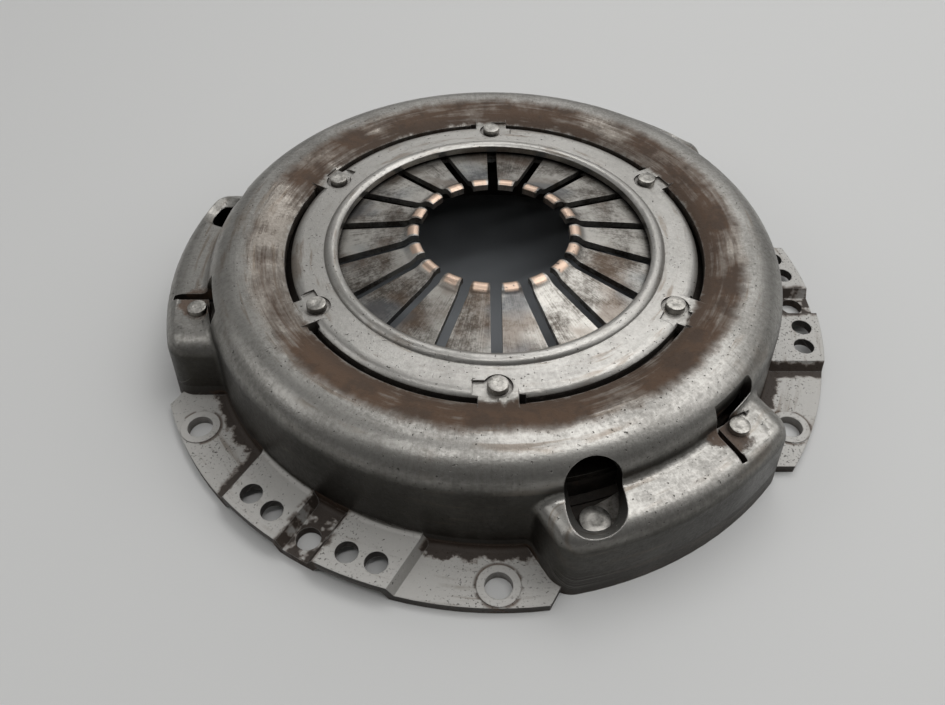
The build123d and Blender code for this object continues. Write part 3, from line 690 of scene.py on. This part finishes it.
# %% [markdown]
# ## The spring's finish
#
# The spring's fingers are dark tempered steel, scratched outwards by the release bearing
# and tinted brown and blue by heat. Only the raised tips, where the bearing runs, are worn
# to a bright coppery patch. Counting the angle in steps of one finger puts the same patch
# on the middle of each.

# %% Spring steel
FINGER_TURN = 20.0
FINGER_PHASE = 18.5
TIP_WORN = [r * MM for r in (28.5, 29.3, 32.6, 33.6)]
TIP_HALF_WIDTH = (2.0 * MM, 3.0 * MM)
# Radii where painted shade covers the spring under the fulcrum ring.
SHADE_UNDER_RING = (74 * MM, 78 * MM)
SPRING_DARK = (0.085, 0.072, 0.060, 1.0)
SPRING_LIGHT = (0.488, 0.470, 0.433, 1.0)
SPRING_BROWN = (0.110, 0.072, 0.048, 1.0)
SPRING_BLUE = (0.130, 0.165, 0.195, 1.0)
TIP_COPPER = (0.66, 0.49, 0.38, 1.0)
SCRATCH_DEPTH = 0.05 * MM


def fingertips(tree, place, radius, angle):
    """1 on the worn middle of each fingertip."""
    turn = radians(FINGER_TURN)
    local = maths(tree, "MODULO", maths(tree, "ADD", angle, FINGER_PHASE * turn), turn)
    side = product(tree, radius, maths(tree, "SINE", maths(tree, "SUBTRACT", local, turn / 2)))
    middle = spread(tree, maths(tree, "ABSOLUTE", side), *TIP_HALF_WIDTH, 1.0, 0.0)
    patches = spread(tree, noise(tree, place, 0.003, 3.0, 0.6), 0.30, 0.42)
    return product(tree, band(tree, radius, *TIP_WORN), middle, patches)


def spring_steel():
    material, tree, shader = new_finish("spring_steel")
    place = object_place(tree)
    radius, angle, height = polar(tree, place)
    clouds = noise(tree, place, 0.016, 5.0, 0.6)
    scratches = strokes(tree, place, 11 * MM, 0.30 * MM, 45 * MM, True)
    tone = blend_values(tree, 0.24, clouds, scratches)
    tone = blend_values(tree, 0.24, tone, noise(tree, place, 0.0015, 3.0, 0.7))
    steel = blend_colours(tree, spread(tree, tone, 0.39, 0.59), SPRING_DARK, SPRING_LIGHT)
    brown = spread(tree, noise(tree, place, 0.024, 4.0, 0.6), 0.46, 0.62)
    steel = blend_colours(tree, product(tree, brown, 0.60), steel, SPRING_BROWN)
    blue = spread(tree, noise(tree, place, 0.031, 2.0, 0.5, (1.0, 1.3, 1.0)), 0.54, 0.66)
    steel = blend_colours(tree, product(tree, blue, 0.40), steel, SPRING_BLUE)
    # Partly dirt, partly painted shade: shut-in places on the spring go nearly black.
    shut_in_dirt_and_shade = spread(tree, crevice(tree, 4 * MM), 0.30, 0.70)
    steel = blend_colours(tree, product(tree, shut_in_dirt_and_shade, 0.85), steel, DEEP_GRIME_AND_SHADE)
    # Painted shade: the spring goes nearly black where it runs under the fulcrum ring.
    shade_under_ring = spread(tree, radius, *SHADE_UNDER_RING)
    steel = blend_colours(tree, product(tree, shade_under_ring, 0.9), steel, DEEP_GRIME_AND_SHADE)
    steel = blend_colours(tree, fingertips(tree, place, radius, angle), steel, TIP_COPPER)
    rounded, edge = soft_edges(tree, 0.35 * MM)
    steel = blend_colours(tree, product(tree, edge, 0.45), steel, SPRING_LIGHT)
    put(shader.inputs["Base Color"], steel)
    shader.inputs["Metallic"].default_value = 0.88
    put(shader.inputs["Roughness"], spread(tree, tone, 0.35, 0.65, 0.46, 0.30))
    put(shader.inputs["Normal"], bump(tree, scratches, SCRATCH_DEPTH, rounded))
    return material


SPRING_STEEL = spring_steel()
print("fingers", round(360 / FINGER_TURN))

# %% [markdown]
# ## The plate's finish
#
# The plate is grey cast iron with a dark skin and rust blooms. Only its friction face is
# ground: fine rings, bright metal and a few blue scorch marks from slipping. The face is the
# lowest part of the casting, so a limit of height parts the two surfaces.

# %% Cast iron
IRON_DARK = (0.026, 0.022, 0.019, 1.0)
IRON_LIGHT = (0.070, 0.060, 0.050, 1.0)
RUST = (0.075, 0.036, 0.018, 1.0)
GROUND_DARK = (0.30, 0.29, 0.28, 1.0)
GROUND_LIGHT = (0.46, 0.45, 0.43, 1.0)
FACE_TOP = (4.6 * MM, 4.9 * MM)
SKIN_DEPTH = 0.3 * MM


def cast_iron():
    material, tree, shader = new_finish("cast_iron")
    place = object_place(tree)
    radius, angle, height = polar(tree, place)
    clouds = noise(tree, place, 0.02, 6.0, 0.65)
    skin = noise(tree, place, 0.0018, 4.0, 0.75)
    colour = blend_colours(tree, spread(tree, clouds, 0.35, 0.65), IRON_DARK, IRON_LIGHT)
    rust = spread(tree, noise(tree, place, 0.009, 5.0, 0.65), 0.54, 0.66)
    colour = blend_colours(tree, product(tree, rust, 0.5), colour, RUST)
    face = spread(tree, height, *FACE_TOP, 1.0, 0.0)
    rings = strokes(tree, place, 40 * MM, 0.4 * MM, 92 * MM)
    scorched = spread(tree, noise(tree, place, 0.030, 4.0, 0.6), 0.50, 0.66)
    ground = blend_colours(tree, spread(tree, rings, 0.40, 0.60), GROUND_DARK, GROUND_LIGHT)
    ground = blend_colours(tree, product(tree, scorched, 0.6), ground, SPRING_BLUE)
    put(shader.inputs["Base Color"], blend_colours(tree, face, colour, ground))
    rusty = maths(tree, "SUBTRACT", 0.6, product(tree, rust, 0.4))
    put(shader.inputs["Metallic"], blend_values(tree, face, rusty, 0.95))
    cast_rough = spread(tree, clouds, 0.3, 0.7, 0.55, 0.78)
    put(shader.inputs["Roughness"], blend_values(tree, face, cast_rough, 0.34))
    relief = blend_values(tree, face, skin, product(tree, rings, 0.15))
    put(shader.inputs["Normal"], bump(tree, relief, SKIN_DEPTH))
    return material


CAST_IRON = cast_iron()
print("friction face below", FACE_TOP[0])

# %% [markdown]
# ## Rivets, straps and the pivot ring
#
# The small steel parts share one plain finish: clouds and grain between two tones, dirt and
# painted shade in the corners and a few pits. Each kind has its own two tones and its own
# gloss, because rivets are soft bright wire, straps are rolled strip and the ring is dark
# pressed steel.

# %% Plain steel, and every solid's finish
PLAIN_METALLIC = 0.88
PLAIN_DEPTH = 0.07 * MM


def plain_steel(name, dark, light, rough):
    material, tree, shader = new_finish(name)
    place = object_place(tree)
    clouds = noise(tree, place, 0.007, 5.0, 0.6)
    fine = noise(tree, place, 0.0011, 3.0, 0.7)
    tone = spread(tree, blend_values(tree, 0.4, clouds, fine), 0.38, 0.62)
    colour = blend_colours(tree, tone, dark, light)
    # Partly dirt, partly painted shade: shut-in corners go nearly black.
    shut_in_dirt_and_shade = spread(tree, crevice(tree, 3 * MM), 0.36, 0.74)
    colour = blend_colours(tree, product(tree, shut_in_dirt_and_shade, 0.9), colour, DEEP_GRIME_AND_SHADE)
    pits = product(tree, specks(tree, place, 0.0009, 0.14), 0.7)
    put(shader.inputs["Base Color"], blend_colours(tree, pits, colour, PIT))
    shader.inputs["Metallic"].default_value = PLAIN_METALLIC
    put(shader.inputs["Roughness"], spread(tree, clouds, 0.3, 0.7, rough - 0.07, rough + 0.1))
    put(shader.inputs["Normal"], bump(tree, fine, PLAIN_DEPTH))
    return material


RIVET_STEEL = plain_steel("rivet_steel", (0.24, 0.23, 0.21, 1.0), (0.56, 0.54, 0.50, 1.0), 0.38)
STRAP_STEEL = plain_steel("strap_steel", (0.16, 0.145, 0.13, 1.0), (0.36, 0.34, 0.31, 1.0), 0.36)
RING_STEEL = plain_steel("ring_steel", (0.11, 0.09, 0.075, 1.0), (0.26, 0.24, 0.21, 1.0), 0.45)
FINISHES = {
    "cover": COVER_STEEL,
    "diaphragm_spring": SPRING_STEEL,
    "pressure_plate": CAST_IRON,
    "fulcrum_ring": RING_STEEL,
}
for name, node in NODES.items():
    usual = STRAP_STEEL if "leaf" in name else RIVET_STEEL
    wear_finish(node, FINISHES.get(name, usual))
print("finishes", len(bpy.data.materials))

# %% [markdown]
# ## Pressed, cast and stamped edges
#
# On the real parts no edge is a knife edge: the press rounds the sheet, the file breaks the
# casting and wear does the rest. So each solid is copied, and the copy's sharp edges are
# bevelled. The loaded mesh is cut apart along every sharp edge, so its doubled corners are
# merged first, or the bevel would find only open borders. Narrow flat triangles are dissolved
# into bigger faces, which gives the bevel room. Afterwards the normals are weighted by face
# size, so that the wide faces stay calm and the narrow bevels do the bending.

# %% Copies with rounded edges
SHARP = 35.0
SAME_PLANE = 1.5
MERGE = 0.01 * MM
BEVEL_STEPS = 2


def rounded_copy(node_name, name, width, material, slot, body="cover"):
    """Copies a solid's mesh, rounds its sharp edges by width and puts it in the solid's place."""
    obj = bpy.data.objects.new(name, NODES[node_name].data.copy())
    bpy.context.scene.collection.objects.link(obj)
    pick(obj)
    bpy.ops.object.mode_set(mode="EDIT")
    bpy.ops.mesh.select_mode(type="EDGE")
    bpy.ops.mesh.select_all(action="SELECT")
    bpy.ops.mesh.remove_doubles(threshold=MERGE)
    bpy.ops.mesh.customdata_custom_splitnormals_clear()
    bpy.ops.mesh.dissolve_limited(angle_limit=radians(SAME_PLANE))
    bpy.ops.mesh.select_all(action="DESELECT")
    bpy.ops.mesh.edges_select_sharp(sharpness=radians(SHARP))
    bpy.ops.mesh.bevel(offset=width, segments=BEVEL_STEPS, profile=0.5, clamp_overlap=True)
    bpy.ops.object.mode_set(mode="OBJECT")
    bpy.ops.object.shade_smooth_by_angle(angle=radians(SHARP))
    calm = obj.modifiers.new("calm", "WEIGHTED_NORMAL")
    calm.keep_sharp = True
    bpy.ops.object.modifier_apply(modifier=calm.name)
    wear_finish(obj, material)
    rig.ride(obj, body)
    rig.replaces(obj, node_name)
    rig.slot(obj, slot)
    return obj


SHEET_EDGE = 0.35 * MM
CAST_EDGE = 0.40 * MM
RING_ROLL = 0.20 * MM

cover = rounded_copy("cover", "pressed_cover", SHEET_EDGE, COVER_STEEL, "cover_steel")
plate = rounded_copy(
    "pressure_plate", "friction_plate", CAST_EDGE, CAST_IRON, "cast_iron", "pressure_plate"
)
ring = rounded_copy("fulcrum_ring", "pivot_ring", RING_ROLL, RING_STEEL, "ring_steel")
print("faces", [len(obj.data.polygons) for obj in (cover, plate, ring)])

# %% [markdown]
# ## Pieces that flex
#
# The diaphragm spring tilts and the drive straps straighten as the plate lifts. A rigid
# solid can't follow that, so the rounded copies of these pieces flatten towards the place
# where they are held while the plate moves.

# %% The spring and the straps
SPRING_HELD_Z = 33.4 * MM
SPRING_KEEP = 0.16
STRAP_HELD_Z = 25.5 * MM
STRAP_KEEP = 0.405
SPRING_EDGE = 0.30 * MM
STRIP_EDGE = 0.10 * MM

spring = rounded_copy(
    "diaphragm_spring", "spring_with_fingers", SPRING_EDGE, SPRING_STEEL, "spring_steel"
)
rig.squash(spring, "plate_lift", axis=(0, 0, 1), anchor=(0, 0, SPRING_HELD_Z), keep=SPRING_KEEP)
leaves = [
    rounded_copy(name, name + "_flexing", STRIP_EDGE, STRAP_STEEL, "strap_steel")
    for name in sorted(NODES) if "leaf" in name
]
for leaf in leaves:
    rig.squash(leaf, "plate_lift", axis=(0, 0, 1), anchor=(0, 0, STRAP_HELD_Z), keep=STRAP_KEEP)
print("flexing pieces", 1 + len(leaves))

# %% [markdown]
# ## Rivets
#
# A rivet is round, so it is turned: half of its outline is drawn as a chain of points, each
# with a radius and a height in millimetres, and spun once round the rivet's own axis. The
# closing tool leaves a flat head with a soft rim and a faint round mark in its middle.

# %% Spun rivets
SPIN_STEPS = 48
FULCRUM_RIVET = [(2.2, 39.6), (2.2, 37.1), (2.9, 37.1), (2.9, 30.58), (2.2, 30.58), (2.2, 28.77)]
COVER_RIVET = [(2.7, 29.0), (2.7, 23.34)]
PLATE_RIVET = [(3.2, 17.16), (3.2, 6.9)]
RIM = 0.28
MARK_SHARE = 0.42


def head_outline(radius, seat, top):
    """Outline of a closed head from the axis out and down to its seat, tool mark included."""
    mark = radius * MARK_SHARE
    return [
        (0.0, top - 0.08), (mark * 0.8, top - 0.08), (mark, top - 0.02), (mark + 0.2, top),
        (radius - RIM, top), (radius - 0.3 * RIM, top - 0.3 * RIM), (radius, top - RIM), (radius, seat),
    ]


def foot_outline(radius, seat, bottom):
    return [(radius, seat), (radius, bottom + RIM), (radius - RIM, bottom), (0.0, bottom)]


def spun_rivet(node_name, outline, body):
    """Spins an outline round the axis of the solid rivet that it replaces."""
    low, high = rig.box(node_name)
    axis = (Vector(low) + Vector(high)) / 2
    points = [(axis.x + r * MM, axis.y, z * MM) for r, z in outline]
    mesh = bpy.data.meshes.new(node_name + "_turned")
    mesh.from_pydata(points, [(i, i + 1) for i in range(len(points) - 1)], [])
    obj = bpy.data.objects.new(node_name + "_turned", mesh)
    bpy.context.scene.collection.objects.link(obj)
    pick(obj)
    bpy.ops.object.mode_set(mode="EDIT")
    bpy.ops.mesh.select_all(action="SELECT")
    bpy.ops.mesh.spin(steps=SPIN_STEPS, angle=2 * pi, center=(axis.x, axis.y, 0), axis=(0, 0, 1))
    bpy.ops.mesh.select_all(action="SELECT")
    bpy.ops.mesh.remove_doubles(threshold=MERGE)
    bpy.ops.mesh.normals_make_consistent(inside=False)
    bpy.ops.object.mode_set(mode="OBJECT")
    bpy.ops.object.shade_smooth_by_angle(angle=radians(SHARP))
    wear_finish(obj, RIVET_STEEL)
    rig.ride(obj, body)
    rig.replaces(obj, node_name)
    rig.slot(obj, "rivet_steel")
    return obj


FULCRUM_OUTLINE = head_outline(3.5, 39.6, 42.2) + FULCRUM_RIVET + foot_outline(4.6, 28.77, 26.77)
COVER_OUTLINE = head_outline(3.5, 29.0, 31.2) + COVER_RIVET + foot_outline(4.8, 23.34, 21.14)
PLATE_OUTLINE = head_outline(5.1, 17.16, 19.16) + PLATE_RIVET + foot_outline(5.2, 6.9, 4.5)
KINDS = {
    "fulcrum_rivet": (FULCRUM_OUTLINE, "cover"),
    "cover_strap_rivet": (COVER_OUTLINE, "cover"),
    "plate_strap_rivet": (PLATE_OUTLINE, "pressure_plate"),
}
rivets = [
    spun_rivet(name, *KINDS[name.rsplit("_", 1)[0]])
    for name in sorted(NODES) if "rivet" in name
]
print("rivets", len(rivets), "faces each", len(rivets[0].data.polygons))

# %% [markdown]
# ## Floor
#
# A wide pale floor keeps the soft shadow of the cover. Under the clutch it is painted dark,
# a painted shade for the unlit floor inside, so the hole through the fingers looks as deep
# as it is. It is one plane, and belongs to the stage and not to the object.

# %% Floor
FLOOR_SIZE = 3.2
FLOOR_PALE = (0.66, 0.66, 0.65, 1.0)
FLOOR_PAINTED_SHADE = (0.16, 0.17, 0.18, 1.0)
SHADED = (70 * MM, 95 * MM)
bpy.ops.object.select_all(action="DESELECT")
bpy.ops.mesh.primitive_plane_add(size=FLOOR_SIZE, location=(0, 0, 0))
floor = bpy.context.object
floor.name = "floor"
floor_paint, tree, shader = new_finish("floor_paint")
from_axis = polar(tree, object_place(tree))[0]
# Painted shade: the floor goes dark under the clutch.
under = spread(tree, from_axis, *SHADED, 1.0, 0.0)
put(shader.inputs["Base Color"], blend_colours(tree, under, FLOOR_PALE, FLOOR_PAINTED_SHADE))
shader.inputs["Roughness"].default_value = 0.6
wear_finish(floor, floor_paint)
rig.stage(floor)
print("floor", FLOOR_SIZE, "m wide")

# %% [markdown]
# ## Lamps and sky
#
# Satin steel shows what stands round it, so the lamps are large soft rectangles like
# windows: the strongest high behind, weaker ones to the sides, and a long tube overhead
# that lights the near flange. The sky adds a little even light. What the lens and polished
# metal see beyond the floor's edge is a plain pale backdrop, which lights nothing.

# %% Lamps and sky
def soft_lamp(name, place, size, power, aim=(0, 0, 0.02)):
    lamp = bpy.data.lights.new(name, "AREA")
    lamp.shape = "RECTANGLE"
    lamp.size, lamp.size_y = size
    lamp.energy = power
    obj = bpy.data.objects.new(name, lamp)
    bpy.context.scene.collection.objects.link(obj)
    obj.location = place
    obj.rotation_euler = (Vector(aim) - Vector(place)).to_track_quat("-Z", "Y").to_euler()
    return obj


soft_lamp("roof_window", (0.50, 0.66, 1.40), (1.6, 0.75), 9)
soft_lamp("window_back", (0.20, 1.60, 0.80), (2.2, 0.7), 2.5)
soft_lamp("window_right", (1.45, -0.05, 1.05), (0.8, 0.9), 4)
soft_lamp("window_left", (-1.25, -0.10, 0.95), (0.9, 0.7), 2)
soft_lamp("ceiling_tube", (0.1, -0.25, 1.5), (1.7, 0.14), 6)

BACKDROP = 0.50
world = bpy.data.worlds.new("room")
bpy.context.scene.world = world
world.use_nodes = True
sky = world.node_tree
facing = sky.nodes.new("ShaderNodeTexCoord").outputs["Generated"]
parts = sky.nodes.new("ShaderNodeSeparateXYZ")
put(parts.inputs[0], facing)
overhead = spread(sky, parts.outputs["Z"], 0.0, 0.9, 0.08, 0.18)
behind = spread(sky, parts.outputs["Y"], -0.2, 0.9, 0.0, 0.14)
glow = maths(sky, "ADD", overhead, behind)
rays = sky.nodes.new("ShaderNodeLightPath").outputs
mirrored = maths(sky, "MAXIMUM", rays["Is Glossy Ray"], rays["Is Transmission Ray"])
mirrored = product(sky, mirrored, spread(sky, parts.outputs["Z"], -0.02, 0.02, BACKDROP, 0.0))
glow = strongest(sky, glow, mirrored, product(sky, rays["Is Camera Ray"], BACKDROP))
put(sky.nodes["Background"].inputs["Color"], (1.0, 1.0, 1.0, 1.0))
put(sky.nodes["Background"].inputs["Strength"], glow)
bpy.context.scene.view_settings.view_transform = "Standard"
print("lamps", len(bpy.data.lights))

# %% [markdown]
# ## Sizes and the end
#
# The box round the bare solids and the box round the dressed clutch are written side by
# side. They should agree, because no new piece stands out past its solid.

# %% Write the sizes and finish
with open("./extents.json", "w") as out:
    json.dump({
        "cad": [list(corner) for corner in cad_box],
        "visual": [list(corner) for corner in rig.bounds()],
    }, out)
print(open("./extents.json").read())
